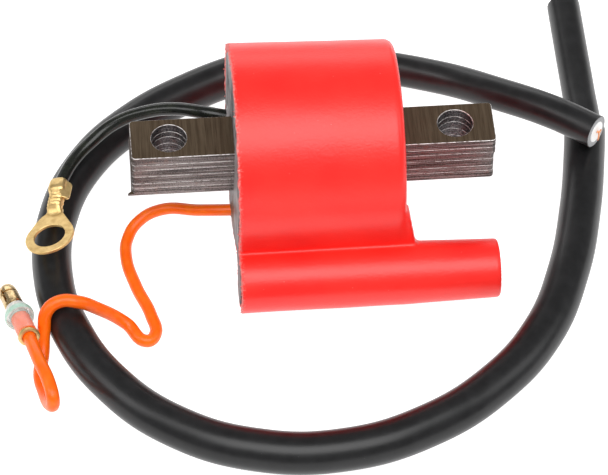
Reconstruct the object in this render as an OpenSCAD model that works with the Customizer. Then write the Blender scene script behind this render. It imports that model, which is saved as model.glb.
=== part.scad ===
// Ignition coil for a small engine: moulded case with a lead socket, laminated
// bar core, potted windings, two flying wires and a loose spark lead.

/* [Core] */
// Steel sheets stacked to make the bar
lamination_count = 22; // [14:2:22]
// Thickness of one sheet with its varnish, mm
lamination_thickness = 0.51; // [0.45:0.01:0.51]
// Width of the bar, mm
core_width = 10.2; // [9:0.1:10.2]
// Length of the bar, mm
core_length = 73.6; // [70:0.2:73.6]
// How far the bottom sheet has slipped to the left, mm
sheet_slip = 1.3; // [0.1:0.1:1.3]
// Distance between the two fixing holes, mm
hole_spacing = 58; // [54:0.5:59]
// Diameter of the fixing holes, mm
hole_diameter = 7.2; // [5:0.1:7.4]

/* [Case] */
// Length of the barrel, mm
barrel_length = 33.6; // [33.6:0.1:35]
// Outer radius at the open end, mm
barrel_radius = 21.5; // [21.3:0.1:21.5]
// Wall thickness of the barrel, mm
barrel_wall = 1.8; // [1.4:0.1:1.9]
// Thickness of the closed end, mm
end_wall = 2; // [1.5:0.1:2.2]
// Radius of the edge round the closed end, mm
end_edge_radius = 1.6; // [1:0.1:1.8]

/* [Lead socket] */
// Outer radius of the socket along the barrel, mm
socket_radius = 6.45; // [6.2:0.05:6.45]
// Outer radius at its mouth, mm
socket_mouth_radius = 5.95; // [5.5:0.05:6.2]
// Length beyond the barrel's closed end, mm
socket_reach = 19; // [15:0.5:19]
// Diameter of the hole for the lead, mm
socket_bore = 7.2; // [7.1:0.1:7.6]
// Depth of the hole for the lead, mm
socket_depth = 22; // [20:0.5:22]
// Length of its straight part, from the mouth, mm
socket_grip = 14; // [10:0.5:14]

/* [Windings] */
// Radius over the insulating wrap, mm
wrap_radius = 10.5; // [10.3:0.1:10.6]
// Radius of the secondary bobbin's walls, mm
wall_radius = 17.5; // [17:0.1:18]
// Winding sections on the secondary bobbin
section_count = 6; // [4:1:7]

/* [Wires] */
// Diameter of the spark lead, mm
lead_diameter = 7; // [6.8:0.1:7]
// Diameter of the sleeve over the lead, mm
lead_sleeve_diameter = 8.6; // [8:0.1:8.6]
// Diameter of the black wire, mm
ground_diameter = 2.7; // [2.4:0.1:2.7]
// Diameter of the orange wire, mm
signal_diameter = 2.5; // [2:0.1:2.5]

/* [Hidden] */
left = -15.55;
right = left + barrel_length;
axis_y = 3.7;
core_x = 0.65;
core_y = 3.1;
core_z = 21;
axis_z = 21.5;
socket_y = -18.7;
socket_z = socket_radius;
stack = lamination_count * lamination_thickness;
mouth = right + socket_reach;
// the cast resin stops a little short of the open rim
resin = left + 0.5;
resin_end = right - end_wall;
web_tilt = atan2(axis_z - socket_z, axis_y - socket_y);
bobbin_left = -12.6;
bobbin_right = 15;
flange = 1.2;
tube = core_width / 2 + 1;
section_pitch = (bobbin_right - bobbin_left - flange - 1) / section_count;
link_x = bobbin_right - 1 - section_pitch / 2;
ground_at = [12.8, 21.1];
signal_at = [-1, 8];
ring_at = [-53.2, -8.7, 11.8];
bullet_at = [-58.4, -30.2, 7];

// centre lines: the spark lead lies round the case, and its sleeve covers
// the stretch between the two marked points
lead_route = [
    [60.5, 10.7, 12.8], [52.7, 17, 12.2], [42.5, 25.3, 9.4], [30, 35.2, 5],
    [14, 41, 3.5], [0, 42, 3.6], [-9, 40.5, 4.3], [-20, 36, 4.3],
    [-34, 27.8, 4.3], [-45, 16.5, 4.3], [-51.5, 2, 4.3], [-53, -13, 4.3],
    [-50, -27, 4.3], [-42.5, -41, 4.3], [-30.5, -52.5, 4.3], [-15, -59.3, 4.3],
    [2, -60.5, 4.3], [19, -55.8, 4.3], [33.5, -46.5, 4.3], [44.5, -34, 4.3],
    [51.5, -19, 4.3], [56, -3, 4.3], [59, 13, 4.3], [59.8, 18.5, 4.3],
    [60, 30, 3.6], [60, 42, 3.5], [60, 55, 3.5]];
sleeve_first = 6;
sleeve_last = 23;
ground_route = [
    [-13, 12.8, 21.1], [-15.5, 12.9, 21.2], [-20.5, 14, 21.5], [-26.4, 16.6, 20.1],
    [-32.5, 18.4, 17.5], [-38.5, 18.3, 14.7], [-43.5, 15.8, 12.3], [-47.3, 12.2, 11.1],
    [-49.6, 8.4, 10.5], [-51, 5, 10.3]];
signal_route = [
    [-13, -1, 8], [-15.5, -1, 8], [-22.3, 0.2, 7], [-30.4, 2.9, 4.5],
    [-35, 1.7, 2.5], [-37.3, -1.5, 1.3], [-37.9, -6.5, 1.3], [-36.3, -14.3, 1.3],
    [-33.7, -22, 1.3], [-33.2, -27.1, 1.3], [-34.9, -28.5, 1.3], [-38.9, -24.2, 2],
    [-44.6, -23.9, 7], [-48.4, -24.4, 10], [-51.9, -24.2, 10.2], [-54.5, -25.2, 8.8],
    [-55.4, -27.4, 5.3], [-55.9, -31, 2.1], [-56.7, -35.6, 1.3], [-56, -39.9, 1.3],
    [-55, -45, 4], [-54.3, -47.1, 8], [-54.9, -44, 9.5], [-56.5, -38.5, 9.2],
    [-58.4, -30.2, 7]];

function unit(v) = v / norm(v);
function way(p, i) = i == 0 ? unit(p[1] - p[0])
    : i == len(p) - 1 ? unit(p[i] - p[i - 1])
    : unit(unit(p[i + 1] - p[i]) + unit(p[i] - p[i - 1]));
// sideways directions carried along the line without twist
function sideways(p) = [for (i = 0, n = unit(cross(way(p, 0), [0, 0.1, 1])); i < len(p);
    i = i + 1, n = i < len(p) ? unit(n - (n * way(p, i)) * way(p, i)) : n) n];
function ring(p, n, i, r, sides) = [for (k = [0:sides - 1])
    let (a = 360 * k / sides, b = cross(way(p, i), n[i]))
    p[i] + r * (cos(a) * n[i] + sin(a) * b)];
function rings(p, n, first, last, r, sides) =
    [for (i = [first:last]) each ring(p, n, i, r, sides)];
function skin(count, sides, base, out) = [for (i = [0:count - 2]) for (k = [0:sides - 1])
    let (a = base + i * sides + k, b = base + i * sides + (k + 1) % sides)
    each out ? [[a, a + sides, b], [b, a + sides, b + sides]]
        : [[a, b, a + sides], [b, b + sides, a + sides]]];
function lid(base, sides, turned) = [for (k = [1:sides - 2])
    turned ? [base, base + k, base + k + 1] : [base, base + k + 1, base + k]];
function rim(a, b, sides, turned) = [for (k = [0:sides - 1]) let (j = (k + 1) % sides)
    each turned ? [[a + k, a + j, b + k], [b + k, a + j, b + j]]
        : [[a + k, b + k, a + j], [b + k, b + j, a + j]]];

module cord(p, r, sides) {
    n = sideways(p);
    m = len(p);
    polyhedron(rings(p, n, 0, m - 1, r, sides),
        concat(skin(m, sides, 0, true), lid(0, sides, true),
            lid((m - 1) * sides, sides, false)), convexity = 8);
}

module along_x(x, length) {
    translate([x, 0, 0]) rotate([90, 0, 90]) linear_extrude(length) children();
}

module coil_space() {
    // hollow of the case: barrel and the closed back part of the socket
    translate([left - 1, axis_y, axis_z]) rotate([0, 90, 0])
        cylinder(resin_end - left + 1, barrel_radius - barrel_wall,
            barrel_radius - barrel_wall - 0.8, $fn = 96);
    along_x(left - 1, mouth - socket_depth - 2 - left + 1) {
        translate([socket_y, socket_z]) circle(socket_radius - barrel_wall, $fn = 64);
        translate([socket_y, socket_z]) rotate(web_tilt)
            translate([0, -2.4]) square([10, 4.8]);
    }
}

module barrel() {
    // the draft of the mould is taken out of the lowest line, so it lies flat
    r2 = barrel_radius - 0.5;
    e = end_edge_radius;
    translate([left, axis_y, axis_z]) rotate([0, 0.85, 0]) rotate([0, 90, 0])
        rotate_extrude($fn = 96) {
            polygon([[0, -1], [barrel_radius, -1], [barrel_radius, 0],
                [r2, barrel_length - e], [r2 - e, barrel_length - e], [r2 - e, barrel_length],
                [0, barrel_length]]);
            translate([r2 - e, barrel_length - e]) intersection() {
                circle(e, $fn = 32);
                square(e);
            }
        }
}

module housing() {
    color("red") difference() {
        union() {
            barrel();
            along_x(left - 1, right - left + 1) {
                translate([socket_y, socket_z]) circle(socket_radius, $fn = 64);
                translate([socket_y, socket_z]) rotate(web_tilt)
                    translate([0, -4.2]) square([10, 8.4]);
            }
            // gusset between the closed end and the socket
            translate([0, -13.5, 0]) rotate([90, 0, 0]) linear_extrude(3)
                polygon([[right - 3, 22], [right + 0.5, 22], [right + 2.3, 11], [right - 3, 9]]);
        }
        coil_space();
        translate([left - 10, -50, -10]) cube([10, 100, 60]);
        translate([right - 5, core_y - core_width / 2, core_z - stack / 2])
            cube([10, core_width, stack]);
        translate([right, socket_y, socket_z]) rotate([0, 90, 0])
            cylinder(10, socket_radius, socket_radius, $fn = 64);
        socket_bore();
        translate([mouth - socket_depth - 3, socket_y, socket_z]) rotate([0, 90, 0])
            cylinder(4, 1.2, 1.2, $fn = 32);
    }
}

module socket_bore() {
    // straight bore for the lead and a tapered root round the spike
    translate([mouth - socket_grip, socket_y, socket_z]) rotate([0, 90, 0])
        cylinder(socket_grip + 1, socket_bore / 2, socket_bore / 2, $fn = 64);
    translate([mouth - socket_depth, socket_y, socket_z]) rotate([0, 90, 0])
        cylinder(socket_depth - socket_grip, 2.6, socket_bore / 2, $fn = 64);
}

module socket_tube() {
    // the socket beyond the closed end, moulded in one with the case
    color("firebrick") difference() {
        translate([right, socket_y, socket_z]) rotate([0, 90, 0])
            cylinder(socket_reach, socket_radius, socket_mouth_radius, $fn = 64);
        socket_bore();
    }
}

module coil_envelope() {
    // room taken by both bobbins and their windings, one groove per section
    start = bobbin_left + flange;
    coil_at() rotate([0, 90, 0]) rotate_extrude($fn = 64) polygon(concat(
        [[0, bobbin_left], [16, bobbin_left], [16, start], [wall_radius, start]],
        [for (i = [0:section_count - 1]) let (x = start + i * section_pitch) each [
            [wall_radius, x + 1], [wall_radius - 1, x + 1],
            [wall_radius - 1, x + section_pitch], [wall_radius, x + section_pitch]]],
        [[wall_radius, bobbin_right], [0, bobbin_right]]));
}

module wire_hole(at, d) {
    translate([-13, at[0], at[1]]) rotate([0, -90, 0]) cylinder(4, d / 2, d / 2, $fn = 32);
    translate([-13.2, at[0], at[1]]) rotate([0, 90, 0]) cylinder(1, 0.6, 0.6, $fn = 24);
}

module potting() {
    color("dimgray") difference() {
        coil_space();
        translate([resin - 20, -50, -10]) cube([20, 100, 60]);
        translate([left - 5, core_y - core_width / 2, core_z - stack / 2])
            cube([bobbin_left + 1 - left + 5, core_width, stack]);
        translate([bobbin_right - 1, core_y - core_width / 2, core_z - stack / 2])
            cube([5, core_width, stack]);
        coil_envelope();
        ht_link();
        ht_contact();
        wire_hole(ground_at, ground_diameter);
        wire_hole(signal_at, signal_diameter);
    }
}

module lamination(i) {
    // counted from the top; sheet corners are sheared with a small radius
    slip = i == lamination_count ? sheet_slip : 0;
    color("silver") translate([core_x - slip, core_y, core_z + stack / 2 - i * lamination_thickness])
        linear_extrude(lamination_thickness) difference() {
            union() {
                square([core_length - 1.6, core_width], center = true);
                square([core_length, core_width - 1.6], center = true);
                for (x = [-1, 1], y = [-1, 1])
                    translate([x * (core_length / 2 - 0.8), y * (core_width / 2 - 0.8)])
                        circle(0.8, $fn = 24);
            }
            for (x = [-1, 1])
                translate([x * hole_spacing / 2 + slip, 0]) circle(hole_diameter / 2, $fn = 48);
        }
}

module window() {
    square([core_width, stack], center = true);
}

module coil_at() {
    translate([0, core_y, core_z]) children();
}

module primary_bobbin() {
    color("ivory") coil_at() difference() {
        union() {
            along_x(bobbin_left, flange) circle(16, $fn = 64);
            along_x(bobbin_left, bobbin_right - bobbin_left) square(2 * tube, center = true);
            along_x(bobbin_right - 1, 1) circle(wrap_radius, $fn = 64);
        }
        along_x(bobbin_left - 1, bobbin_right - bobbin_left + 2) window();
    }
}

module winding_shape() {
    intersection() {
        square(16.8, center = true);
        circle(wrap_radius - 0.5, $fn = 64);
    }
}

module primary_winding() {
    color("peru") coil_at()
        along_x(bobbin_left + flange, bobbin_right - 1 - bobbin_left - flange) difference() {
            winding_shape();
            square(2 * tube, center = true);
        }
}

module primary_wrap() {
    color("khaki") coil_at()
        along_x(bobbin_left + flange, bobbin_right - 1 - bobbin_left - flange) difference() {
            circle(wrap_radius, $fn = 64);
            winding_shape();
        }
}

module secondary_bobbin() {
    start = bobbin_left + flange;
    color("linen") coil_at() difference() {
        union() {
            along_x(start, bobbin_right - start) circle(wrap_radius + 1.5, $fn = 64);
            for (i = [0:section_count])
                along_x(start + i * section_pitch, 1) circle(wall_radius, $fn = 64);
        }
        along_x(start - 1, bobbin_right - start + 2) circle(wrap_radius, $fn = 64);
        // windows that pass the wire from one section to the next
        translate([start + 1, -0.5, wrap_radius + 1.5])
            cube([bobbin_right - start - 2, 1, 2]);
    }
}

module secondary_winding() {
    start = bobbin_left + flange;
    color("chocolate") coil_at() difference() {
        union() {
            for (i = [0:section_count - 1])
                along_x(start + 1 + i * section_pitch, section_pitch - 1)
                    circle(wall_radius - 1, $fn = 64);
            translate([start + 1, -0.5, wrap_radius + 1.5])
                cube([bobbin_right - start - 2, 1, 2]);
        }
        along_x(start, bobbin_right - start) circle(wrap_radius + 1.5, $fn = 64);
    }
}

module ht_link() {
    a = atan2(core_z - socket_z, core_y - socket_y);
    reach = norm([core_z - socket_z, core_y - socket_y]);
    color("peru") translate([link_x, socket_y, socket_z]) rotate([a, 0, 0])
        rotate([-90, 0, 0]) cylinder(reach - wall_radius + 1, 0.3, 0.3, $fn = 24);
}

module ht_contact() {
    // brass spike: an eye for the link wire, a head and a pointed shank
    x = mouth - socket_depth;
    color("gold") difference() {
        union() {
            translate([link_x - 1, socket_y, socket_z]) rotate([0, 90, 0])
                cylinder(x - 2 - link_x + 1, 1.5, 1.5, $fn = 32);
            translate([x - 3.2, socket_y, socket_z]) rotate([0, 90, 0])
                cylinder(1.2, 3, 3, $fn = 32);
            translate([x - 2, socket_y, socket_z]) rotate([0, 90, 0])
                cylinder(6, 1.2, 1.2, $fn = 32);
            translate([x + 4, socket_y, socket_z]) rotate([0, 90, 0])
                cylinder(3, 1.2, 0.2, $fn = 32);
        }
        ht_link();
    }
}

module signal_pin() {
    color("silver") translate([-13, signal_at[0], signal_at[1]]) rotate([0, 90, 0])
        cylinder(bobbin_left + 13, 0.6, 0.6, $fn = 24);
}

module ground_pin() {
    color("silver") translate([-13, ground_at[0], ground_at[1]]) rotate([0, 90, 0])
        cylinder(bobbin_left + 13, 0.6, 0.6, $fn = 24);
}

module ground_wire() {
    color("black") cord(ground_route, ground_diameter / 2, 8);
}

module ring_frame() {
    // y runs from the ring to the wire, z out of the ring
    translate(ring_at) rotate([-9.5, -17, -7.5]) children();
}

module ring_terminal() {
    // ring, shoulders, ribbed wire crimp and insulation crimp, bent from one sheet
    color("goldenrod") ring_frame() difference() {
        union() {
            cylinder(0.8, 5, 5, center = true, $fn = 48);
            translate([0, 0, -0.4]) linear_extrude(0.8)
                polygon([[-4.7, 1.8], [4.7, 1.8], [1.6, 7.8], [-1.6, 7.8]]);
            translate([0, 7, 0.8]) rotate([-90, 0, 0]) cylinder(5.4, 1.55, 1.55, $fn = 32);
            translate([0, 12.2, 0.8]) rotate([-90, 0, 0]) cylinder(3.6, 1.9, 1.9, $fn = 32);
        }
        translate([0, 0, -2]) cylinder(4, 3.3, 3.3, $fn = 48);
        translate([0, 12.2, 0.8]) rotate([-90, 0, 0]) cylinder(4, 1.35, 1.35, $fn = 32);
    }
}

module signal_wire() {
    color("orange") cord(signal_route, signal_diameter / 2, 8);
}

module bullet_frame() {
    // z runs from the wire to the tip
    d = unit([-62.7, -14.3, 3] - bullet_at);
    translate(bullet_at) rotate([0, acos(d[2]), atan2(d[1], d[0])]) children();
}

module bullet_terminal() {
    color("gold") bullet_frame() {
        cylinder(0.6, 2.2, 1.7, $fn = 32);
        translate([0, 0, 0.6]) cylinder(9.2, 1.7, 1.7, $fn = 32);
        translate([0, 0, 9.8]) cylinder(4, 1.95, 1.95, $fn = 32);
        translate([0, 0, 13.8]) cylinder(0.4, 1.7, 1.7, $fn = 32);
        translate([0, 0, 14.2]) cylinder(1.6, 1.9, 1.6, $fn = 32);
        translate([0, 0, 15.8]) cylinder(1.1, 1.6, 0.9, $fn = 32);
    }
}

module bullet_sleeve() {
    color("lightgreen", 0.6) bullet_frame() difference() {
        union() {
            translate([0, 0, 0.8]) cylinder(8.7, 2.3, 2.3, $fn = 32);
            translate([0, 0, 6.3]) cylinder(1.5, 2.9, 2.9, $fn = 32);
        }
        cylinder(12, 2, 2, $fn = 32);
    }
}

module ht_lead() {
    color("dimgray") cord(lead_route, lead_diameter / 2, 12);
}

module ht_lead_sleeve() {
    n = sideways(lead_route);
    m = sleeve_last - sleeve_first + 1;
    inner = m * 12;
    color("black") polyhedron(
        concat(rings(lead_route, n, sleeve_first, sleeve_last, lead_sleeve_diameter / 2, 12),
            rings(lead_route, n, sleeve_first, sleeve_last, lead_diameter / 2, 12)),
        concat(skin(m, 12, 0, true), skin(m, 12, inner, false),
            rim(0, inner, 12, true), rim(inner - 12, 2 * inner - 12, 12, false)),
        convexity = 8);
}

module ht_lead_strands() {
    d = unit(lead_route[0] - lead_route[1]);
    color("peru") translate(lead_route[0]) rotate([0, acos(d[2]), atan2(d[1], d[0])])
        cylinder(2.2, 0.6, 0.6, $fn = 16);
}

housing();
socket_tube();
potting();
for (i = [1:lamination_count])
    lamination(i);
primary_bobbin();
primary_winding();
primary_wrap();
secondary_bobbin();
secondary_winding();
ht_link();
ht_contact();
signal_pin();
ground_pin();
ground_wire();
ring_terminal();
signal_wire();
bullet_terminal();
bullet_sleeve();
ht_lead();
ht_lead_sleeve();
ht_lead_strands();
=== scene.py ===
import math
import random

import bmesh
import bpy
import numpy as np
from mathutils import Matrix, Vector, geometry, noise


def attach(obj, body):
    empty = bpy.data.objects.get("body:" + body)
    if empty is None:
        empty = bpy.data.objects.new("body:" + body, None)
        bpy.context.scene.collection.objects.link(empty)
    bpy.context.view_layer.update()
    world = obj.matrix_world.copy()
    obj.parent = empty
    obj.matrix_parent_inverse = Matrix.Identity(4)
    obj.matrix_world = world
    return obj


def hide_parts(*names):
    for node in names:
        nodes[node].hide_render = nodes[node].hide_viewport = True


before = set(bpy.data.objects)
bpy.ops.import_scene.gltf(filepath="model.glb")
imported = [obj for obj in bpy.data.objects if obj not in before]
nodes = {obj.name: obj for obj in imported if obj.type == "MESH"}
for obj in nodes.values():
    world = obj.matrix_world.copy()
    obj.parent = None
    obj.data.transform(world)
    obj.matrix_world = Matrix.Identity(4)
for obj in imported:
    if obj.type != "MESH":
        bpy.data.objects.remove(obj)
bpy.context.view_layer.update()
MM = 0.001


# --- Camera -----------------------------------------------------------------
# A long lens, well above the coil and a little to its left, with its aim
# near the middle of the case.

camera_data = bpy.data.cameras.new("camera")
camera_data.sensor_width = 36
camera_data.lens = 223.4
camera_data.clip_end = 10
camera = bpy.data.objects.new("camera", camera_data)
azimuth, elevation, roll = (math.radians(a) for a in (5.92, 50.52, 1.45))
aim = Vector((-2.88, -20.43, 21.5)) * MM
away = Vector((-math.sin(azimuth) * math.cos(elevation),
               -math.cos(azimuth) * math.cos(elevation), math.sin(elevation)))
camera.matrix_world = (
    Matrix.Translation(aim + 0.75 * away)
    @ Matrix.Rotation(-azimuth, 4, "Z")
    @ Matrix.Rotation(math.pi / 2 - elevation, 4, "X")
    @ Matrix.Rotation(roll, 4, "Z"))
bpy.context.scene.collection.objects.link(camera)
bpy.context.scene.camera = camera


# --- Spark lead -------------------------------------------------------------
# A 7 mm high-tension lead: black rubber over white insulation and a few fine
# copper strands. It lies loose round the coil and is cut square at both ends.

class Value:
    """One shader value. Arithmetic on it adds Math nodes to its material, and
    node() adds any other node to the same material."""

    def __init__(self, tree, socket):
        self.tree, self.socket = tree, socket

    def node(self, kind, settings=None, inputs=None, output=0):
        made = self.tree.nodes.new("ShaderNode" + kind)
        for name, setting in (settings or {}).items():
            setattr(made, name, setting)
        for name, value in (inputs or {}).items():
            if isinstance(value, Value):
                self.tree.links.new(value.socket, made.inputs[name])
            else:
                made.inputs[name].default_value = value
        return Value(self.tree, made.outputs[output])

    def math(self, operation, first, second=0.0):
        return self.node("Math", {"operation": operation}, {0: first, 1: second})

    def __add__(self, other):
        return self.math("ADD", self, other)

    def __sub__(self, other):
        return self.math("SUBTRACT", self, other)

    def __mul__(self, other):
        return self.math("MULTIPLY", self, other)

    def wave(self):
        """0 to 1 and back for each whole step of this value."""
        return self.math("SINE", self * (2 * math.pi)) * 0.5 + 0.5

    def between(self, low, high):
        """0 at low, 1 at high and a smooth step from one to the other."""
        return self.node("MapRange", {"interpolation_type": "SMOOTHSTEP"},
                         {"Value": self, "From Min": low, "From Max": high})

    def blend(self, first, second):
        """The first colour where this is 0, the second where it is 1."""
        colours = [c if isinstance(c, Value) else (*c, 1) for c in (first, second)]
        return self.node("Mix", {"data_type": "RGBA"},
                         {0: self, 6: colours[0], 7: colours[1]}, 2)

    def stretched(self, x, y, z):
        """These coordinates times a factor along each axis."""
        return self.node("VectorMath", {"operation": "MULTIPLY"}, {0: self, 1: (x, y, z)})

    def axis(self, name):
        return self.node("SeparateXYZ", {}, {0: self}, name)

    def grain(self, per_mm, detail=2.0, roughness=0.5, distortion=0.0):
        """Cloudy noise from 0 to 1 with so many features per mm."""
        return self.node("TexNoise", {}, {
            "Vector": self, "Scale": per_mm, "Detail": detail, "Roughness": roughness,
            "Distortion": distortion})

    def cells(self, per_mm, output="Distance", **settings):
        """Voronoi cells: the distance from each one's point, or its own colour."""
        return self.node("TexVoronoi", settings, {"Vector": self, "Scale": per_mm}, output)


class Finish:
    """One material on a Principled shader. Settings that are the same all over
    go on its sockets, and paint() links the ones that vary."""

    def __init__(self, name, **settings):
        self.material = bpy.data.materials.new(name)
        self.material.use_nodes = True
        self.tree = self.material.node_tree
        self.shader = self.tree.nodes["Principled BSDF"]
        for socket, value in settings.items():
            self.shader.inputs[socket.replace("_", " ")].default_value = value
        place = Value(self.tree, self.tree.nodes.new("ShaderNodeTexCoord").outputs["Object"])
        self.mm = place.node("VectorMath", {"operation": "SCALE"}, {0: place, "Scale": 1000.0})

    def paint(self, **links):
        for socket, value in links.items():
            self.tree.links.new(value.socket, self.shader.inputs[socket.replace("_", " ")])

    def relief(self, height, depth_mm, strength=1.0):
        """A height from 0 to 1 raised on the surface by so many mm."""
        bump = height.node("Bump", {}, {
            "Height": height, "Distance": depth_mm * MM, "Strength": strength})
        self.tree.links.new(bump.socket, self.shader.inputs["Normal"])

    def on(self, *pieces):
        for piece in pieces:
            piece.data.materials.clear()
            piece.data.materials.append(self.material)
        return self


def mesh_piece(name, points, faces, slot, smooth=True):
    """A piece of the coil from points in mm and faces. A smooth one keeps its
    sharp corners."""
    data = bpy.data.meshes.new(name)
    data.from_pydata([tuple(c * MM for c in p) for p in points], [], faces)
    data.update()
    data.polygons.foreach_set("use_smooth", [smooth] * len(data.polygons))
    if smooth:
        data.set_sharp_from_angle(angle=math.radians(42))
    piece = bpy.data.objects.new(name, data)
    bpy.context.scene.collection.objects.link(piece)
    if slot:
        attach(piece, "coil")
    return piece


def wire_piece(name, route, diameter, widths=None):
    """A round wire along a smooth line through the route's points, in mm. The
    bevel is 1, so each point's radius is the wire's own, in metres."""
    data = bpy.data.curves.new(name, "CURVE")
    data.dimensions = "3D"
    data.bevel_depth = 1
    data.bevel_resolution = 9
    data.resolution_u = 16
    data.use_fill_caps = True
    line = data.splines.new("BEZIER")
    line.bezier_points.add(len(route) - 1)
    for i, (point, place) in enumerate(zip(line.bezier_points, route)):
        point.co = [c * MM for c in place]
        point.handle_left_type = point.handle_right_type = "AUTO"
        point.radius = diameter / 2 * MM * (widths[i] if widths else 1)
    piece = bpy.data.objects.new(name, data)
    bpy.context.scene.collection.objects.link(piece)
    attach(piece, "coil")
    return piece


def placed(points, at, along):
    """Points in mm, turned so that z runs along a direction, then moved."""
    turn = Vector(along).to_track_quat("Z", "Y").to_matrix()
    return [Vector(at) + turn @ Vector(p) for p in points]


def turned(name, profile, at, along, slot, sides=48, shape=None):
    """A closed solid turned from (radius, height) pairs in mm. Its axis starts
    at a point, and shape(angle, height, radius) may change a radius."""
    points = []
    for r, z in profile:
        for k in range(sides):
            angle = 2 * math.pi * k / sides
            out = shape(angle, z, r) if shape else r
            points.append((out * math.cos(angle), out * math.sin(angle), z))
    faces = []
    for i in range(len(profile) - 1):
        for k in range(sides):
            a, b = i * sides + k, i * sides + (k + 1) % sides
            faces.append((a, b, b + sides, a + sides))
    top = (len(profile) - 1) * sides
    faces += [tuple(range(sides - 1, -1, -1)), tuple(range(top, top + sides))]
    return mesh_piece(name, placed(points, at, along), faces, slot)


def rubber(name, base, dusty):
    """Satin black rubber with a faint mottle, dust and fine scuffs."""
    finish = Finish(name, Specular_IOR_Level=0.4)
    mottle = finish.mm.grain(0.35, 4.0, 0.6)
    fine = finish.mm.grain(6.0, 3.0, 0.65)
    dust = finish.mm.cells(0.8).between(0.06, 0.02) * finish.mm.grain(0.6).between(0.5, 0.7)
    colour = mottle.between(0.3, 0.7).blend(base, [c * 1.5 + 0.002 for c in base])
    finish.paint(
        Base_Color=(dust * dusty).blend(colour, (0.2, 0.19, 0.18)),
        Roughness=mottle * 0.12 + fine * 0.08 + 0.24)
    finish.relief(fine * 0.5 + mottle * 0.5, 0.012, 0.4)
    return finish


LEAD = 7.0
lead_route = [
    (60.5, 10.7, 12.8), (52.7, 17, 12.2), (42.5, 25.3, 9.4), (30, 35.2, 5),
    (14, 41, 3.5), (0, 42, 3.6), (-9, 40.5, 4.3), (-20, 36, 4.3),
    (-34, 27.8, 4.3), (-45, 16.5, 4.3), (-51.5, 2, 4.3), (-53, -13, 4.3),
    (-50, -27, 4.3), (-42.5, -41, 4.3), (-30.5, -52.5, 4.3), (-15, -59.3, 4.3),
    (2, -60.5, 4.3), (19, -55.8, 4.3), (33.5, -46.5, 4.3), (44.5, -34, 4.3),
    (51.5, -19, 4.3), (56, -3, 4.3), (59, 13, 4.3), (59.8, 18.5, 4.3),
    (60, 30, 3.6), (60, 42, 3.5), (60, 55, 3.5)]
lead = wire_piece("spark_lead", lead_route, LEAD)
rubber("lead rubber", (0.007, 0.007, 0.0075), 0.4).on(lead)
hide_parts("ht_lead")

cut_rubber = Finish("cut rubber", Specular_IOR_Level=0.3)
torn = cut_rubber.mm.grain(5.0, 4.0, 0.7)
cut_rubber.paint(Base_Color=torn.blend((0.24, 0.24, 0.25), (0.46, 0.46, 0.47)),
                 Roughness=torn * 0.3 + 0.45)
cut_rubber.relief(torn, 0.12, 0.7)

insulation = Finish("white insulation", Specular_IOR_Level=0.4)
cloud = insulation.mm.grain(2.0, 3.0)
insulation.paint(Base_Color=cloud.blend((0.9, 0.9, 0.89), (0.97, 0.97, 0.96)),
                 Roughness=cloud * 0.2 + 0.4)
insulation.relief(cloud, 0.06, 0.5)


def cut_end(name, at, along):
    """The cut face of the lead: a rubber ring round the white insulation."""
    ring = turned(name + "_ring",
                  [(2.3, -1), (3.36, -1), (3.36, 0.03), (3.2, 0.1), (2.45, 0.14), (2.3, 0.05)],
                  at, along, "lead_rubber",
                  shape=lambda a, z, r: r + 0.05 * math.sin(3 * a + 1) * (r > 3))
    cut_rubber.on(ring)
    core = turned(name + "_insulation",
                  [(2.3, -1), (2.32, 0.1), (2.25, 0.2), (1.5, 0.27), (0.7, 0.28), (0.3, 0.22)],
                  at, along, "bobbin")
    insulation.on(core)


start, toward = Vector(lead_route[0]), Vector(lead_route[0]) - Vector(lead_route[1])
toward.normalize()
cut_end("lead_near_end", start, toward)
cut_end("lead_far_end", lead_route[-1], (0, 1, 0))

copper = Finish("copper wire", Metallic=1.0)
tone = copper.mm.grain(1.5, 3.0)
copper.paint(Base_Color=tone.blend((0.8, 0.3, 0.13), (0.95, 0.5, 0.28)),
             Roughness=tone * 0.2 + 0.2)

across = toward.cross(Vector((0, 0, 1))).normalized()
upward = across.cross(toward)


def strand(name, steps, thickness=0.3):
    """A copper strand from the lead's core: steps out, across and up, in mm."""
    route = [start + o * toward + a * across + u * upward for o, a, u in steps]
    piece = wire_piece(name, route, thickness)
    copper.on(piece)
    return piece


loop = strand("strand_loop", [
    (-0.6, 0.1, -0.1), (0.35, 0.0, 0.0), (0.7, -0.45, 0.2), (0.9, -0.5, 0.6),
    (1.0, -0.1, 0.95), (1.1, 0.45, 0.85), (1.1, 0.75, 0.5)])
strand("strand_long", [
    (-0.6, 0.0, -0.15), (0.35, -0.3, 0.0), (0.7, 0.0, -0.2), (0.95, 0.5, -0.45),
    (1.15, 1.0, -0.6), (1.25, 1.35, -0.5)], 0.34)
strand("strand_short", [(-0.6, -0.1, 0.1), (0.4, -0.12, 0.1), (0.9, -0.35, 0.0)])
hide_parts("ht_lead_strands")


# --- Lead sleeve ------------------------------------------------------------
# A thicker rubber sleeve pushed over the middle of the lead. It is cut square
# at its two ends, where the lead comes out of it.

SLEEVE = 8.6
sleeve_route = lead_route[6:24]
sleeve = wire_piece("lead_sleeve", sleeve_route, SLEEVE,
                    [0.94 + 0.06 * min(max((x + 52) / 35, 0), 1) for x, _, _ in sleeve_route])
rubber("sleeve rubber", (0.006, 0.006, 0.0065), 0.5).on(sleeve)
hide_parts("ht_lead_sleeve")


# --- Black earth wire -------------------------------------------------------
# A PVC-covered wire from the coil's open end to the ring terminal, which
# grips its copper and its insulation in two crimps.

EARTH = 2.7
earth_route = [
    (-13, 12.8, 21.1), (-15.5, 12.9, 21.2), (-20.5, 14, 21.5), (-26.4, 16.6, 20.1),
    (-32.5, 18.4, 17.5), (-38.5, 18.3, 14.7), (-43.5, 15.8, 12.3), (-47.3, 12.2, 11.1),
    (-49.6, 8.4, 10.5), (-51, 5, 10.3)]
earth = wire_piece("earth_wire", earth_route, EARTH)


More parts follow.
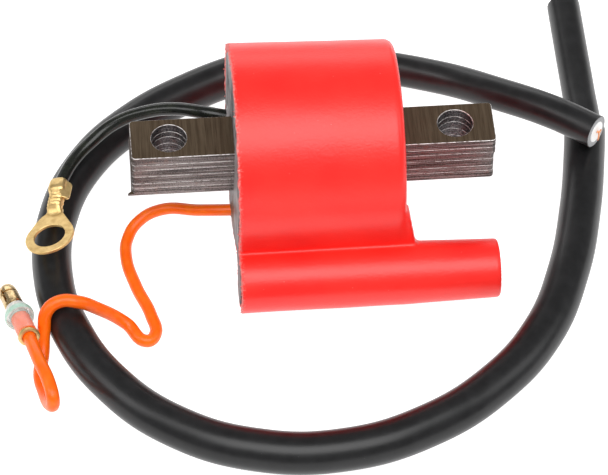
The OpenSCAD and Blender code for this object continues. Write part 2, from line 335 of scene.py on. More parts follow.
def pvc(name, base, dull, gloss):
    """Glossy PVC insulation with a fine drawn texture and smudges."""
    finish = Finish(name, Specular_IOR_Level=0.38)
    smudge = finish.mm.grain(0.5, 4.0, 0.6)
    fine = finish.mm.grain(3.0, 3.0, 0.6)
    finish.paint(Base_Color=smudge.between(0.35, 0.75).blend(base, dull),
                 Roughness=smudge * 0.14 + gloss)
    finish.relief(fine, 0.012, 0.5)
    return finish


pvc("black PVC", (0.008, 0.009, 0.008), (0.016, 0.019, 0.012), 0.12).on(earth)
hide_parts("ground_wire")


# --- Ring terminal ----------------------------------------------------------
# One piece of sheet brass, punched and bent: the ring, its shoulders, a wire
# crimp pressed between ribbed dies, and an insulation crimp with a folded wing.

RING_HOLE = 3.3
ring_frame = (Matrix.Translation((-53.2, -8.7, 11.8))
              @ Matrix.Rotation(math.radians(-7.5), 4, "Z")
              @ Matrix.Rotation(math.radians(-17), 4, "Y")
              @ Matrix.Rotation(math.radians(-9.5), 4, "X"))


def punched(name, outline, holes, low, high, edge, slot, place=None):
    """A sheet cut from an outline with holes, between two heights in mm. Its
    cut edges are rounded by edge. The walls' faces come first."""
    def inset(loop, by, hole):
        moved = []
        for i, (x, y) in enumerate(loop):
            (x0, y0), (x1, y1) = loop[i - 1], loop[(i + 1) % len(loop)]
            side = Vector((y1 - y0, x0 - x1)).normalized() * (by if hole else -by)
            moved.append((x + side.x, y + side.y))
        return moved

    points, faces, rims = [], [], []
    for number, loop in enumerate([outline] + holes):
        hole, count, base = number > 0, len(loop), len(points)
        drawn = inset(loop, edge, hole)
        for ring, z in ((drawn, low), (loop, low + edge), (loop, high - edge), (drawn, high)):
            points += [(x, y, z) for x, y in ring]
        rims.append(base)
        for level in range(3):
            for k in range(count):
                a, b = base + level * count + k, base + level * count + (k + 1) % count
                wall = (a, b, b + count, a + count)
                faces.append(wall[::-1] if hole else wall)
    walls = len(faces)
    for level, flip in ((0, True), (3, False)):
        loops, index = [], []
        for base, loop in zip(rims, [outline] + holes):
            first = base + level * len(loop)
            index += range(first, first + len(loop))
            loops.append([Vector(points[i]) for i in range(first, first + len(loop))])
        for a, b, c in geometry.tessellate_polygon(loops):
            corners = [Vector(points[index[i]]) for i in (a, b, c)]
            up = (corners[1] - corners[0]).cross(corners[2] - corners[0]).z > 0
            face = (index[a], index[b], index[c])
            faces.append(face if up != flip else face[::-1])
    if place:
        points = [place @ Vector(p) for p in points]
    return mesh_piece(name, points, faces, slot, smooth=False), walls


def round_loop(radius, count, x=0.0, y=0.0, first=0.0, last=360.0):
    """Points along a circle or an arc, with its angles in degrees."""
    steps = count if last - first >= 360 else count - 1
    turns = [math.radians(first + (last - first) * i / steps) for i in range(count)]
    return [(x + radius * math.cos(t), y + radius * math.sin(t)) for t in turns]


plate_outline = (round_loop(5.1, 49, first=-212, last=32)
                 + [(3.3, 4.4), (2.3, 6.1), (1.75, 7.0), (1.6, 8.2), (-1.6, 8.2), (-1.8, 7.0),
                    (-2.6, 6.2), (-3.6, 4.6)])
plate, _ = punched("ring_plate", plate_outline, [round_loop(RING_HOLE, 56)], -0.25, 0.4, 0.08,
                   "brass", ring_frame)

INSULATION_CRIMP = 12.4


def lofted(name, sections, slot, place):
    """A closed solid through (y, half width, low, high, squareness) sections in
    mm, with 40 points round each. The dies left it uneven, less so at the rear."""
    points, sides = [], 40
    for y, half, low, high, square in sections:
        rough = 0.05 if y < INSULATION_CRIMP else 0.02
        for k in range(sides):
            angle = 2 * math.pi * k / sides
            c, s = math.cos(angle), math.sin(angle)
            x = half * math.copysign(abs(c) ** (2 / square), c)
            z = (low + high) / 2 + (high - low) / 2 * math.copysign(abs(s) ** (2 / square), s)
            ripple = rough * noise.noise(Vector((x * 1.2, y * 1.4, z * 1.2)))
            points.append(place @ Vector((x * (1 + ripple), y, z * (1 + ripple))))
    faces = []
    for i in range(len(sections) - 1):
        for k in range(sides):
            a, b = i * sides + k, i * sides + (k + 1) % sides
            faces.append((a, a + sides, b + sides, b))
    top = (len(sections) - 1) * sides
    faces += [tuple(range(sides)), tuple(range(top + sides - 1, top - 1, -1))]
    return mesh_piece(name, points, faces, slot)


def ribbed(y):
    """How far the ribbed dies press in, 0 to 1, along the wire crimp."""
    return 0.5 + 0.5 * math.cos(2 * math.pi * (y - 8.2) / 1.06)


crimp_sections = [
    (6.3, 1.55, -0.4, 0.42, 3), (7.0, 1.6, -0.4, 0.7, 3), (7.5, 1.55, -0.5, 1.35, 2.6)]
for i in range(56):
    y = 7.9 + i * 0.078
    press = 0.38 * ribbed(y)
    crimp_sections.append((y, 1.58 - press * 0.55, -0.62, 2.05 - press, 2.8))
crimp_sections += [
    (12.5, 1.68, -0.7, 2.25, 2.8), (12.8, 1.82, -0.8, 2.5, 3.0), (13.7, 1.86, -0.85, 2.6, 3.2),
    (14.9, 1.86, -0.85, 2.57, 3.2), (15.6, 1.82, -0.8, 2.5, 3.0), (15.8, 1.68, -0.65, 2.35, 2.8)]
crimp = lofted("ring_crimp", crimp_sections, "brass", ring_frame)

wing_outline = (round_loop(0.8, 10, 1.1, 11.3, -90, 0) + round_loop(1.1, 10, 0.8, 14.4, 0, 80)
                + [(0.1, 15.6), (-0.5, 15.5), (-0.5, 11.2), (0.2, 10.5)])
wing_place = (ring_frame @ Matrix.Translation((1.15, 0, 1.5))
              @ Matrix.Rotation(math.radians(38), 4, "Y"))
wing, _ = punched("ring_wing", wing_outline, [], -0.35, 0.35, 0.14, "brass", wing_place)

satin_brass = Finish("satin brass", Metallic=1.0)
brushed = satin_brass.mm.stretched(5, 0.6, 1.5).grain(1.0, 4.0, 0.7)
tarnish = satin_brass.mm.grain(0.8, 4.0, 0.6)
satin_brass.paint(
    Base_Color=tarnish.between(0.35, 0.75).blend((0.80, 0.58, 0.26), (0.64, 0.43, 0.17)),
    Roughness=tarnish * 0.18 + brushed * 0.16 + 0.26)
satin_brass.relief(brushed * 0.6 + tarnish * 0.4, 0.05, 0.5)
satin_brass.on(plate, crimp, wing)
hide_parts("ring_terminal")


# --- Orange signal wire -----------------------------------------------------
# A PVC-covered wire from the coil's open end, over the lead, to the bullet
# terminal. It turns back on itself in a narrow loop before the terminal.

SIGNAL = 2.5
signal_route = [
    (-13, -1, 8), (-15.5, -1, 8), (-22.3, 0.2, 7), (-30.4, 2.9, 4.5),
    (-35, 1.7, 2.5), (-37.3, -1.5, 1.3), (-37.9, -6.5, 1.3), (-36.3, -14.3, 1.3),
    (-33.7, -22, 1.3), (-33.2, -27.1, 1.3), (-34.9, -28.5, 1.3), (-38.9, -24.2, 2),
    (-44.6, -23.9, 7), (-48.4, -24.4, 10), (-51.9, -24.2, 10.2), (-54.5, -25.2, 8.8),
    (-55.4, -27.4, 5.3), (-55.9, -31, 2.1), (-56.7, -35.6, 1.3), (-56, -39.9, 1.3),
    (-55, -45, 4), (-54.3, -47.1, 8), (-54.9, -44, 9.5), (-56.5, -38.5, 9.2),
    (-58.4, -30.2, 7)]
signal = wire_piece("orange_wire", signal_route, SIGNAL,
                    [0.97 + 0.1 * min(max((i - 4) / 9, 0), 1) for i in range(len(signal_route))])
orange = pvc("orange PVC", (1.0, 0.125, 0.0), (1.0, 0.165, 0.002), 0.27)
orange.on(signal)
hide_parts("signal_wire")


# --- Bullet terminal --------------------------------------------------------
# Turned brass: a rolled ferrule that grips the wire, a body, a fine groove and
# a slit nose, so that the nose springs in as it enters its socket.

BULLET_AT = Vector((-58.4, -30.2, 7))
BULLET_TIP = Vector((-62.7, -14.3, 3))
along = (BULLET_TIP - BULLET_AT).normalized()
SLIT = math.radians(44)
SLIT_END, GROOVE = 11.5, 13.9


def slit(angle, z, r):
    """Sinks the slit in the nose and the small hole at its end."""
    beside = abs((angle - SLIT + math.pi) % (2 * math.pi) - math.pi) * r
    if z > SLIT_END and beside < 0.2:
        return r * 0.5
    if abs(z - GROOVE) < 0.3 and beside < 0.42:
        return r * 0.55
    return r


nose = [
    (1.0, 9.4), (1.6, 9.6), (1.6, 9.9), (1.62, 10.6), (1.93, 10.8), (1.95, 11.0), (1.95, 11.6),
    (1.95, 12.6), (1.95, 13.1), (1.95, 13.3), (1.95, 13.5), (1.93, 13.66), (1.68, 13.74),
    (1.66, 13.9), (1.68, 14.06), (1.93, 14.14), (1.93, 14.4), (1.88, 15.2), (1.8, 15.8),
    (1.6, 16.3), (1.25, 16.7), (0.8, 16.88), (0.3, 16.92)]
bullet = turned("bullet_nose", nose, BULLET_AT, along, "brass", 96, slit)
ferrule = turned("bullet_ferrule",
                 [(1.3, -0.05), (1.5, -0.28), (1.9, -0.3), (2.2, -0.1), (2.25, 0.15), (2.1, 0.45),
                  (1.85, 0.7), (1.8, 1.6), (1.84, 2.2), (1.76, 2.7), (1.7, 9.7), (1.2, 9.75)],
                 BULLET_AT, along, "brass", 64,
                 lambda a, z, r: r * (1 + 0.03 * math.sin(2 * a)) if z < 3 else r)
bright_brass = Finish("turned brass", Metallic=1.0)
rings = (bright_brass.mm.grain(0.7, 3.0, 0.6) * 2.0 + bright_brass.mm.axis("Y") * 4.0).wave()
tarnish = bright_brass.mm.grain(0.5, 2.0, 0.5)
bright_brass.paint(
    Base_Color=tarnish.between(0.35, 0.8).blend((0.62, 0.46, 0.25), (0.40, 0.27, 0.12)),
    Roughness=tarnish * 0.2 + 0.16)
bright_brass.relief(rings, 0.003, 0.3)
bright_brass.on(bullet)
satin_brass.on(ferrule)
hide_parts("bullet_terminal")

wire_end = turned("orange_wire_end",
                  [(1.2, 0.9), (1.9, 1.0), (1.96, 1.4), (1.96, 5.9), (1.9, 6.3), (1.2, 6.4)],
                  BULLET_AT, along, "orange_pvc", 48,
                  lambda a, z, r: r * (1 - 0.14 * (math.sin(a + 2.4) > 0.93)))
orange.on(wire_end)


# --- Clear sleeve -----------------------------------------------------------
# A soft clear PVC sleeve with a collar, tinged green at the collar's rim. It
# slides forward over the joined terminals, so it rides on its own body.

clear_sleeve = turned(
    "clear_sleeve",
    [(2.0, 0.9), (2.25, 0.8), (2.38, 1.1), (2.45, 3.0), (2.52, 6.0), (2.56, 6.3), (2.85, 6.35),
     (2.98, 6.6), (2.98, 7.45), (2.85, 7.75), (2.5, 7.85), (2.36, 8.0), (2.35, 9.2), (2.2, 9.5),
     (2.02, 9.4), (2.0, 6.0), (2.0, 1.2)],
    BULLET_AT, along, None, 64)
hollow = bmesh.new()
hollow.from_mesh(clear_sleeve.data)
bmesh.ops.delete(hollow, geom=[f for f in hollow.faces if len(f.verts) > 4], context="FACES_ONLY")
rim_edges = [e for e in hollow.edges if e.is_boundary]
bmesh.ops.bridge_loops(hollow, edges=rim_edges)
bmesh.ops.recalc_face_normals(hollow, faces=hollow.faces)
hollow.to_mesh(clear_sleeve.data)
clear = Finish("clear PVC", Specular_IOR_Level=0.5)
cloud = clear.mm.grain(0.9, 3.0)
run = clear.mm.node("VectorMath", {"operation": "DOT_PRODUCT"}, {0: clear.mm, 1: along}, 1)
run = run - BULLET_AT.dot(along)
collar = run.between(6.1, 6.5) * run.between(8.1, 7.8)
front = run.between(7.6, 8.1)
reach = clear.mm.node("VectorMath", {"operation": "DISTANCE"}, {0: clear.mm, 1: BULLET_AT}, 1)
beside = reach.math("POWER", reach * reach - run * run, 0.5)
rim = beside.between(2.72, 2.92)
tint = cloud.between(0.35, 0.6).blend((0.66, 0.66, 0.62), (0.86, 0.87, 0.85))
tint = (rim * collar * 0.6).blend(tint, (0.30, 0.70, 0.52))
clear.paint(Base_Color=tint, Roughness=cloud * 0.15 + 0.12,
            Alpha=collar * 0.62 + front * 0.5 + cloud * 0.1 + 0.1)
clear.relief(cloud, 0.05, 0.4)
clear.on(clear_sleeve)
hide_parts("bullet_sleeve")
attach(clear_sleeve, "clear_sleeve")


# --- Case -------------------------------------------------------------------
# One injection moulding in red plastic: the barrel, the lead socket that runs
# along it, the web between them and a gusset at the closed end. The open end
# was sawn off the sprue, which leaves a thin ragged rim with chips and fibres.

LEFT, RIGHT = -15.55, 18.05
AXIS_Y, AXIS_Z = 3.7, 21.5
SOCKET_Y, SOCKET_Z = -18.7, 6.45
MOUTH = RIGHT + 19
SHEETS, THICK = 22, 0.51
BAR_Y, BAR_Z = 3.1, 21
BAR_WIDE, BAR_HIGH = 10.2, SHEETS * THICK
WEB = math.atan2(AXIS_Z - SOCKET_Z, AXIS_Y - SOCKET_Y)


def smooth_min(a, b, k):
    h = np.clip(0.5 + 0.5 * (b - a) / k, 0, 1)
    return b * (1 - h) + a * h - k * h * (1 - h)


def rounded_end(across, along, r):
    """Distance to a solid that ends in a rounded edge of radius r."""
    a, b = across + r, along + r
    return np.hypot(np.maximum(a, 0), np.maximum(b, 0)) + np.minimum(np.maximum(a, b), 0) - r


def hollow_distance(x, y, z):
    """Distance to the room inside the case, across the barrel's axis."""
    barrel = np.hypot(y - AXIS_Y, z - AXIS_Z) - 19.7 + 0.8 * (x - LEFT) / (RIGHT - LEFT)
    over = (y - SOCKET_Y) * math.cos(WEB) + (z - SOCKET_Z) * math.sin(WEB)
    beside = -(y - SOCKET_Y) * math.sin(WEB) + (z - SOCKET_Z) * math.cos(WEB)
    slot = np.maximum(np.abs(beside) - 2.4, np.abs(over - 5) - 5)
    socket = np.maximum(np.hypot(y - SOCKET_Y, z - SOCKET_Z) - 4.65, x - 13.05)
    return np.minimum(np.maximum(barrel, x - 16.05), np.minimum(socket, np.maximum(slot, x - 13.05)))


def case_distance(p):
    """How far each point lies outside the case's plastic, in mm."""
    x, y, z = p.T
    part = (x - LEFT) / (RIGHT - LEFT)
    barrel = rounded_end(
        np.hypot(y - AXIS_Y, z - (AXIS_Z - 0.5 * part)) - (21.5 - 0.5 * part), x - RIGHT, 1.7)
    across = np.hypot(y - SOCKET_Y, z - SOCKET_Z)
    taper = np.clip((x - RIGHT) / 19, 0, 1)
    socket = rounded_end(across - 6.45 + 0.5 * taper, x - MOUTH, 0.6)
    slab = np.maximum(np.abs(y + 15) - 1.5, 9 - z)
    gusset = rounded_end(np.maximum(slab, x - RIGHT - 0.6 - (22 - z) * 0.164), z - 22.2, 1.1)
    solid = smooth_min(smooth_min(barrel, socket, 0.6), gusset, 0.9)
    root = np.clip((x - 15.05) / 8, 0, 1)
    bore = np.maximum(across - 2.6 - root, 15.05 - x)
    spike = np.maximum(across - 1.2, np.abs(x - 14) - 2)
    window = np.maximum.reduce([
        np.abs(y - BAR_Y) - BAR_WIDE / 2, np.abs(z - BAR_Z) - BAR_HIGH / 2, 13 - x])
    holes = np.minimum.reduce([hollow_distance(x, y, z), bore, spike, window])
    solid = -smooth_min(-solid, holes, 0.35)
    ragged = np.array([
        0.35 * noise.fractal(Vector((0.3, b * 0.6, c * 0.6)), 0.7, 2.2, 6) for b, c in zip(y, z)])
    solid = -smooth_min(-solid, x - LEFT - 0.12 - ragged, 0.12)
    dents = np.array([noise.fractal(Vector(q) * 0.09, 1.0, 2.0, 2) for q in p])
    return solid + 0.05 * dents


def settle_on(distance, points, rounds=3):
    """Moves points straight on to the surface where the distance is 0."""
    step = 0.02
    for _ in range(rounds):
        here = distance(points)
        slope = np.stack([
            (distance(points + step * axis) - here) / step for axis in np.eye(3)], -1)
        size = np.maximum((slope ** 2).sum(-1), 0.2)
        points = points - np.clip(here / size, -0.5, 0.5)[:, None] * slope
    return points


def even_quads(name, voxel, *sources):
    """The CAD nodes' solids as one mesh in even quads."""
    joined = bmesh.new()
    for source in sources:
        joined.from_mesh(source.data)
    data = bpy.data.meshes.new(name)
    joined.to_mesh(data)
    joined.free()
    piece = bpy.data.objects.new(name, data)
    bpy.context.scene.collection.objects.link(piece)
    grid = piece.modifiers.new("even quads", "REMESH")
    grid.mode, grid.voxel_size = "VOXEL", voxel * MM
    shown = piece.evaluated_get(bpy.context.evaluated_depsgraph_get())
    even = bpy.data.meshes.new_from_object(shown)
    piece.modifiers.clear()
    piece.data = even
    even.name = name
    even.polygons.foreach_set("use_smooth", [True] * len(even.polygons))
    return piece


case = even_quads("case", 0.45, nodes["housing"], nodes["socket_tube"])
skin = np.empty(len(case.data.vertices) * 3)
case.data.vertices.foreach_get("co", skin)
case.data.vertices.foreach_set(
    "co", (settle_on(case_distance, skin.reshape(-1, 3) / MM) * MM).ravel())
case.data.update()

red = Finish("red case plastic", Specular_IOR_Level=0.55)
broad = red.mm.grain(0.07, 3.0, 0.55)
leather = red.mm.stretched(0.6, 1, 1).cells(1.3, feature="DISTANCE_TO_EDGE").between(0.0, 0.25)
peel = red.mm.grain(0.8, 4.0, 0.6)
fine = red.mm.grain(5.0, 2.0, 0.6)
specks = red.mm.cells(0.5).between(0.07, 0.02) * red.mm.grain(0.2).between(0.42, 0.6)
scratches = (red.mm.stretched(0.25, 2.2, 2.2).grain(1.6, 5.0, 0.75).between(0.66, 0.76)
             * red.mm.grain(0.12).between(0.45, 0.65))
by_rim = red.mm.axis("X").between(LEFT + 2.4, LEFT + 0.2)
dust = (red.mm.grain(2.2, 4.0, 0.7) * 0.7 + by_rim * 0.3).between(0.6, 0.8) * by_rim
sawn = red.mm.axis("X").between(LEFT + 0.45, LEFT + 0.15)
colour = broad.between(0.3, 0.7).blend((0.93, 0.014, 0.010), (1.0, 0.022, 0.014))
colour = (specks * 0.6).blend(colour, (0.95, 0.25, 0.22))
colour = (dust * 0.5 + scratches * 0.12).blend(colour, (0.85, 0.42, 0.38))
torn = sawn * red.mm.grain(2.2, 4.0, 0.7).between(0.3, 0.65)
colour = (torn * 0.85).blend(colour, (0.72, 0.30, 0.28))
red.paint(Base_Color=colour,
          Roughness=broad * 0.12 + fine * 0.08 + dust * 0.3 + sawn * 0.2 + 0.27)
red.relief(peel * 0.55 + leather * 0.16 + fine * 0.1 + specks * 0.4 - scratches * 0.3, 0.12, 0.42)
red.on(case)
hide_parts("housing", "socket_tube")
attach(case, "coil")

# Short fibres that the saw left standing along the rim's inner and outer edges.
BARREL_EDGES, SOCKET_EDGES = (19.8, 21.35), (4.75, 6.3)
draw = random.Random(11)
fibre_points, fibre_faces = [], []
for _ in range(90):
    if draw.random() < 0.72:
        turn = draw.uniform(0, 2 * math.pi)
        r = draw.choice(BARREL_EDGES) + draw.uniform(-0.1, 0.1)
        y, z = AXIS_Y + r * math.cos(turn), AXIS_Z + r * math.sin(turn)
        inside_other = math.hypot(y - SOCKET_Y, z - SOCKET_Z) < 6.5
    else:
        turn = draw.uniform(math.pi * 0.75, math.pi * 2.1)
        r = draw.choice(SOCKET_EDGES) + draw.uniform(-0.08, 0.08)
        y, z = SOCKET_Y + r * math.cos(turn), SOCKET_Z + r * math.sin(turn)
        inside_other = math.hypot(y - AXIS_Y, z - AXIS_Z) < 21.6
    if inside_other:
        continue
    reach = draw.uniform(0.05, 0.3) * draw.choice((1, 1, 1.6))
    thick = draw.uniform(0.08, 0.2)
    lean_y, lean_z = draw.uniform(-0.5, 0.5) * reach, draw.uniform(-0.5, 0.5) * reach
    base = len(fibre_points)
    spin = draw.uniform(0, 2)
    for k in range(3):
        a = spin + 2 * math.pi * k / 3
        fibre_points.append((LEFT + 0.35, y + thick * math.cos(a), z + thick * math.sin(a)))
    for k in range(3):
        a = spin + 2 * math.pi * k / 3
        fibre_points.append((LEFT - reach * 0.35, y + lean_y * 0.5 + thick * 0.7 * math.cos(a),
                             z + lean_z * 0.5 + thick * 0.7 * math.sin(a)))
    fibre_points.append((LEFT - reach * 0.7, y + lean_y, z + lean_z))
    for k in range(3):
        a, b = base + k, base + (k + 1) % 3
        fibre_faces += [(a, a + 3, b + 3, b), (a + 3, base + 6, b + 3)]
    fibre_faces.append((base, base + 1, base + 2))
fibres = mesh_piece("rim_fibres", fibre_points, fibre_faces, "case", smooth=False)
torn_plastic = Finish("torn case plastic", Roughness=0.6, Specular_IOR_Level=0.3)
pale = torn_plastic.mm.grain(1.6, 3.0)
torn_plastic.paint(Base_Color=pale.between(0.35, 0.65).blend((0.75, 0.05, 0.045), (0.8, 0.36, 0.32)))
torn_plastic.on(fibres)


# --- Cast resin -------------------------------------------------------------
# Grey potting resin poured into the open end round the bar and the windings.
# Its face set uneven, with pores and swirls, and it climbs the two wires.

RESIN = LEFT + 0.5
STEP = 0.45


def resin_room(y, z):
    """Distance to the resin's face outline: the case's hollow less the bar."""
    bar = np.maximum(np.abs(y - BAR_Y) - BAR_WIDE / 2 - 0.02, np.abs(z - BAR_Z) - BAR_HIGH / 2 - 0.01)
    return np.maximum(hollow_distance(np.full_like(y, LEFT), y, z) - 0.05, -bar)


def resin_height(y, z):
    """How far the face stands out of the case's rim plane, less the rim, in mm."""
    low = (AXIS_Z + 6 - z) / 30
    swell = 0.30 + 0.42 * min(max(low, 0), 1)
    swell += 0.16 * noise.fractal(Vector((2, y * 0.16, z * 0.16)), 0.9, 2.1, 4)
    swell += 0.05 * noise.fractal(Vector((5, y * 0.9, z * 0.9)), 0.9, 2.1, 3)
    for wire_y, wire_z, r in ((12.8, 21.1, 1.35), (-1.0, 8.0, 1.1)):
        swell += 0.75 * math.exp(-max(math.hypot(y - wire_y, z - wire_z) - r, 0) / 0.7)
    pore = noise.cell(Vector((9, y * 0.55, z * 0.55)))
    if pore > 0.93:
        swell -= 0.3 * abs(noise.noise(Vector((1, y * 1.7, z * 1.7))))
    return max(swell, 0.03)


grid_y, grid_z = np.meshgrid(np.arange(-24, 24.4, STEP), np.arange(0.6, 42.4, STEP), indexing="ij")
room = resin_room(grid_y, grid_z)
slope_y = (resin_room(grid_y + 0.02, grid_z) - room) / 0.02
slope_z = (resin_room(grid_y, grid_z + 0.02) - room) / 0.02
near = np.where(room > -0.55 * STEP, np.clip(room, -0.75 * STEP, 0.75 * STEP), 0)
flat_y, flat_z = grid_y - near * slope_y, grid_z - near * slope_z
inside = room[:-1, :-1] + room[1:, 1:] + room[1:, :-1] + room[:-1, 1:] < 0
kept = {(int(i), int(j)) for i, j in np.argwhere(inside)}
corners, resin_points, resin_faces = {}, [], []
for i, j in sorted(kept):
    for corner in ((i, j), (i + 1, j), (i + 1, j + 1), (i, j + 1)):
        if corner not in corners:
            corners[corner] = len(resin_points)
            y, z = float(flat_y[corner]), float(flat_z[corner])
            resin_points += [(RESIN - resin_height(y, z), y, z), (RESIN + 0.6, y, z)]
for i, j in sorted(kept):
    a, b, c, d = (corners[k] for k in ((i, j), (i + 1, j), (i + 1, j + 1), (i, j + 1)))
    resin_faces += [(a, d, c, b), (a + 1, b + 1, c + 1, d + 1)]
    for beside, p, q in (
            ((i, j - 1), a, b), ((i + 1, j), b, c), ((i, j + 1), c, d), ((i - 1, j), d, a)):
        if beside not in kept:
            resin_faces.append((p, q, q + 1, p + 1))
resin_face = mesh_piece("resin_face", resin_points, resin_faces, "resin")

resin = Finish("cast resin", Specular_IOR_Level=0.4)
clouds = resin.mm.grain(0.12, 3.0, 0.6)
swirls = resin.mm.stretched(1, 0.8, 0.5).grain(0.4, 5.0, 0.65, 1.2)
pits = resin.mm.cells(1.3).between(0.2, 0.06) * resin.mm.grain(0.7).between(0.5, 0.62)
outer = resin.mm.node("VectorMath", {"operation": "DISTANCE"},
                      {0: resin.mm.stretched(0, 1, 1), 1: (0, AXIS_Y, AXIS_Z)}, 1)
low = resin.mm.axis("Z").between(20, 4)
wire_side = resin.mm.node("VectorMath", {"operation": "DISTANCE"},
                          {0: resin.mm.stretched(0, 1, 1), 1: (0, -1, 8)}, 1).between(4.5, 1.2)
colour = (clouds * 0.6 + swirls * 0.4).between(0.38, 0.62).blend(
    (0.04, 0.036, 0.04), (0.36, 0.33, 0.33))
colour = (low * outer.between(13, 19) * clouds.between(0.35, 0.6)).blend(colour, (0.10, 0.018, 0.018))
colour = (wire_side * 0.8).blend(colour, (0.20, 0.075, 0.03))
# Painted shade: the pores are coloured near black for the shade inside them.
colour = pits.blend(colour, (0.03, 0.028, 0.03))
resin.paint(Base_Color=colour, Roughness=swirls * 0.3 + 0.35)
resin.relief(clouds * 0.4 + swirls * 0.4 - pits * 0.6, 0.25, 0.6)
resin.on(resin_face, nodes["potting"])


# --- Bar core ---------------------------------------------------------------
# Twenty-two sheets of electrical steel, punched with rounded corners and two
# holes and stacked loosely level. Each face is dark with varnish and brushed
# across, and each sheared edge is grainy; a few carry a painted highlight line.

BAR_X, BAR_LONG, BAR_TOP = 0.65, 73.6, 26.6
CORNER, HOLE, HOLE_OUT = 0.8, 3.6, 29
draw = random.Random(5)


def sheet_outline(shift_x, shift_y):
    loop = []
    for sx, sy, first in ((1, 1, 0), (-1, 1, 90), (-1, -1, 180), (1, -1, 270)):
        loop += round_loop(CORNER, 7, sx * (BAR_LONG / 2 - CORNER), sy * (BAR_WIDE / 2 - CORNER),
                           first, first + 90)
    return [(x + shift_x, y + shift_y) for x, y in loop]


varnish = Finish("varnished steel", Metallic=0.75)
streaks = varnish.mm.stretched(1.5, 0.06, 0.3).grain(1.0, 5.0, 0.65)
thin = varnish.mm.stretched(9, 0.2, 0.3).grain(1.0, 3.0, 0.6)
patches = varnish.mm.grain(0.25, 3.0, 0.6)
varnish.paint(
    Base_Color=(streaks * 0.75 + thin * 0.25).between(0.32, 0.7).blend(
        (0.085, 0.056, 0.032), (0.18, 0.13, 0.084)),
    Roughness=patches * 0.16 + thin * 0.12 + 0.24)
varnish.relief(thin * 0.5 + streaks * 0.5, 0.02, 0.6)

sheared = Finish("sheared steel", Metallic=0.9)
crystals = sheared.mm.grain(4.0, 3.0, 0.8)
drags = sheared.mm.stretched(0.06, 0.06, 1.9).grain(1.0, 3.0, 0.6)
rust = sheared.mm.grain(0.5, 4.0, 0.6)
colour = (crystals * 0.45 + drags * 0.55).between(0.36, 0.64).blend(
    (0.035, 0.028, 0.027), (0.32, 0.275, 0.265))
colour = (rust.between(0.55, 0.75) * 0.5).blend(colour, (0.24, 0.11, 0.08))
sheared.paint(Base_Color=colour, Roughness=crystals * 0.3 + 0.22)
sheared.relief(crystals * 0.6 + drags * 0.4, 0.06, 0.7)

bore_steel = Finish("punched hole", Metallic=0.9)
grit = bore_steel.mm.grain(3.0, 3.0, 0.7)
bore_steel.paint(Base_Color=grit.between(0.35, 0.7).blend((0.035, 0.035, 0.04), (0.2, 0.18, 0.18)),
                 Roughness=grit * 0.2 + 0.25)
bore_steel.relief(grit, 0.05, 0.6)

# Painted highlight: patchy near-white lines on the top edges of a few sheets stand in for light
# caught by those edges.
bright_edge = Finish("sheet edge painted highlight", Metallic=0.7)
highlight_patches = bright_edge.mm.grain(1.2, 4.0, 0.7)
bright_edge.paint(Base_Color=highlight_patches.between(0.36, 0.56).blend((0.25, 0.22, 0.21), (0.88, 0.85, 0.83)),
                  Roughness=highlight_patches * 0.2 + 0.42)

group_y, group_left, group_until = 0.0, 0.0, 0
for number in range(1, SHEETS + 1):
    if number > group_until:
        group_y, group_left = draw.uniform(-0.13, 0.13), draw.uniform(-0.12, 0.12)
        group_until = number + draw.choice((2, 3, 3, 4))
    shift_x = BAR_X + group_left + draw.uniform(-0.05, 0.05)
    shift_y = BAR_Y + (0 if number == 1 else group_y + draw.uniform(-0.045, 0.045))
    top = BAR_TOP - (number - 1) * THICK
    outline = sheet_outline(shift_x, shift_y)
    if number == SHEETS:  # its front left corner is drawn out into a small lip
        outline = [(x - 1.3 * max(0, 1 - (y + 2) / 0.85) * (x < -30), y) for x, y in outline]
    holes = [round_loop(HOLE, 48, BAR_X + side * HOLE_OUT + group_left * 0.7, shift_y)
             for side in (-1, 1)]
    sheet, walls = punched("sheet_%d" % number, outline, holes,
                           top - THICK + 0.012, top - 0.012, 0.1 if number == 1 else 0.05, "steel")
    for finish in (varnish, sheared, bore_steel, bright_edge):
        sheet.data.materials.append(finish.material)
    # Of each wall's three bands, the top one is the edge that may carry a painted highlight line.
    looks, highlit = [], number in (1, 5, 8, 12, 16, 19)
    for loop, wall_look in ((outline, 1), (holes[0], 2), (holes[1], 2)):
        looks += [wall_look] * (2 * len(loop)) + [3 if highlit else wall_look] * len(loop)
    looks += [0] * (len(sheet.data.polygons) - walls)
    sheet.data.polygons.foreach_set("material_index", looks)
    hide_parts("lamination_%d" % number)


# --- Pieces inside the case -------------------------------------------------
# Sealed in the resin: two nylon bobbins, enamelled windings with a taped wrap
# between them, the link wire, the brass spike in the socket and two tinned pins.

enamel = Finish("enamelled copper", Metallic=0.9)
turns = (enamel.mm.axis("X") * (1 / 0.35)).wave()
tone = enamel.mm.grain(0.6, 3.0)
# Painted shade and highlight: each turn is lighter on its crest and darker in the groove beside the
# next.
enamel.paint(Base_Color=(tone * 0.6 + turns * 0.4).blend((0.32, 0.10, 0.035), (0.75, 0.33, 0.14)),
             Roughness=tone * 0.2 + 0.22)
enamel.relief(turns, 0.12, 0.8)
enamel.on(nodes["primary_winding"])

fine_enamel = Finish("fine enamelled copper", Metallic=0.85)
turns = (fine_enamel.mm.axis("X") * (1 / 0.12)).wave()
tone = fine_enamel.mm.grain(0.6, 3.0)
# Painted shade and highlight: each turn is lighter on its crest and darker in the groove beside the
# next.
fine_enamel.paint(Base_Color=(tone * 0.7 + turns * 0.3).blend((0.26, 0.07, 0.025), (0.6, 0.22, 0.09)),
                  Roughness=tone * 0.2 + 0.25)
fine_enamel.relief(turns, 0.04, 0.8)
fine_enamel.on(nodes["secondary_winding"], nodes["ht_link"])

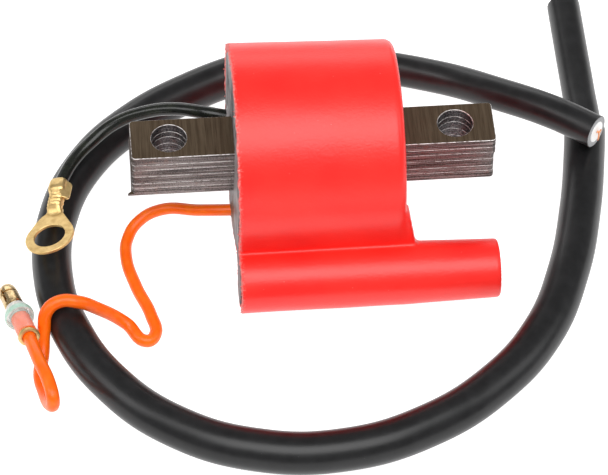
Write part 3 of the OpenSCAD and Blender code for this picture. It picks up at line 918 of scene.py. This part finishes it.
nylon = Finish("natural nylon", Specular_IOR_Level=0.45)
tone = nylon.mm.grain(0.5, 3.0)
flow = nylon.mm.stretched(0.3, 1, 1).grain(1.5, 3.0)
nylon.paint(Base_Color=(tone * 0.6 + flow * 0.4).blend((0.6, 0.53, 0.41), (0.72, 0.66, 0.54)),
            Roughness=tone * 0.2 + 0.33)
nylon.relief(flow, 0.05, 0.4)
nylon.on(nodes["primary_bobbin"], nodes["secondary_bobbin"])

tape = Finish("polyester tape", Specular_IOR_Level=0.5)
laps = (tape.mm.axis("X") * (1 / 6.0)).wave().between(0.93, 1.0)
tone = tape.mm.grain(0.4, 3.0)
amber = tone.blend((0.62, 0.45, 0.16), (0.72, 0.56, 0.24))
tape.paint(Base_Color=(laps * 0.6).blend(amber, (0.4, 0.27, 0.08)), Roughness=tone * 0.15 + 0.2)
tape.relief(laps, 0.06, 0.8)
tape.on(nodes["primary_wrap"])

tin = Finish("tinned pin", Metallic=1.0)
tone = tin.mm.grain(1.5, 3.0)
tin.paint(Base_Color=tone.blend((0.6, 0.6, 0.58), (0.75, 0.75, 0.73)), Roughness=tone * 0.2 + 0.25)
tin.on(nodes["signal_pin"], nodes["ground_pin"])
bright_brass.on(nodes["ht_contact"])


# --- Floor and lights -------------------------------------------------------
# A white sweep that glows, so that no shadow falls on it, a large soft box high
# in front of the coil and three strips at its sides and back.

FLOOR = 2000
floor = mesh_piece(
    "floor", [(-FLOOR, -FLOOR, 0), (FLOOR, -FLOOR, 0), (FLOOR, FLOOR, 0), (-FLOOR, FLOOR, 0)],
    [(0, 1, 2, 3)], None, smooth=False)
sweep = Finish("white floor", Roughness=0.9, Base_Color=(0.4, 0.4, 0.4, 1),
               Emission_Strength=1.0)
far = sweep.mm.node("VectorMath", {"operation": "LENGTH"}, {0: sweep.mm}, 1).between(130, 300)
sweep.paint(Emission_Color=far.blend((1, 1, 1), (0.3, 0.3, 0.3)))
sweep.on(floor)

world = bpy.data.worlds.new("studio")
bpy.context.scene.world = world
world.use_nodes = True
world.node_tree.nodes["Background"].inputs["Color"].default_value = (1, 1, 1, 1)
world.node_tree.nodes["Background"].inputs["Strength"].default_value = 0.3
bpy.context.scene.view_settings.view_transform = "Standard"


def softbox(name, azimuth, elevation, width, height, radiance):
    """A soft box of so many metres by so many, 0.9 m from the coil and facing it."""
    light = bpy.data.lights.new(name, "AREA")
    light.shape, light.size, light.size_y = "RECTANGLE", width, height
    light.energy = radiance * math.pi * width * height
    lamp = bpy.data.objects.new(name, light)
    a, e = math.radians(azimuth), math.radians(elevation)
    away = Vector((math.sin(a) * math.cos(e), -math.cos(a) * math.cos(e), math.sin(e)))
    lamp.matrix_world = (Matrix.Translation(away * 0.9)
                         @ away.to_track_quat("Z", "Y").to_matrix().to_4x4())
    bpy.context.scene.collection.objects.link(lamp)


softbox("key", 0, 66, 0.85, 0.6, 4.2)
softbox("left_strip", -80, 40, 0.3, 0.5, 3.6)
softbox("right_strip", 80, 36, 0.3, 0.5, 2.4)
softbox("back_strip", 186, 20, 0.9, 0.25, 2.2)
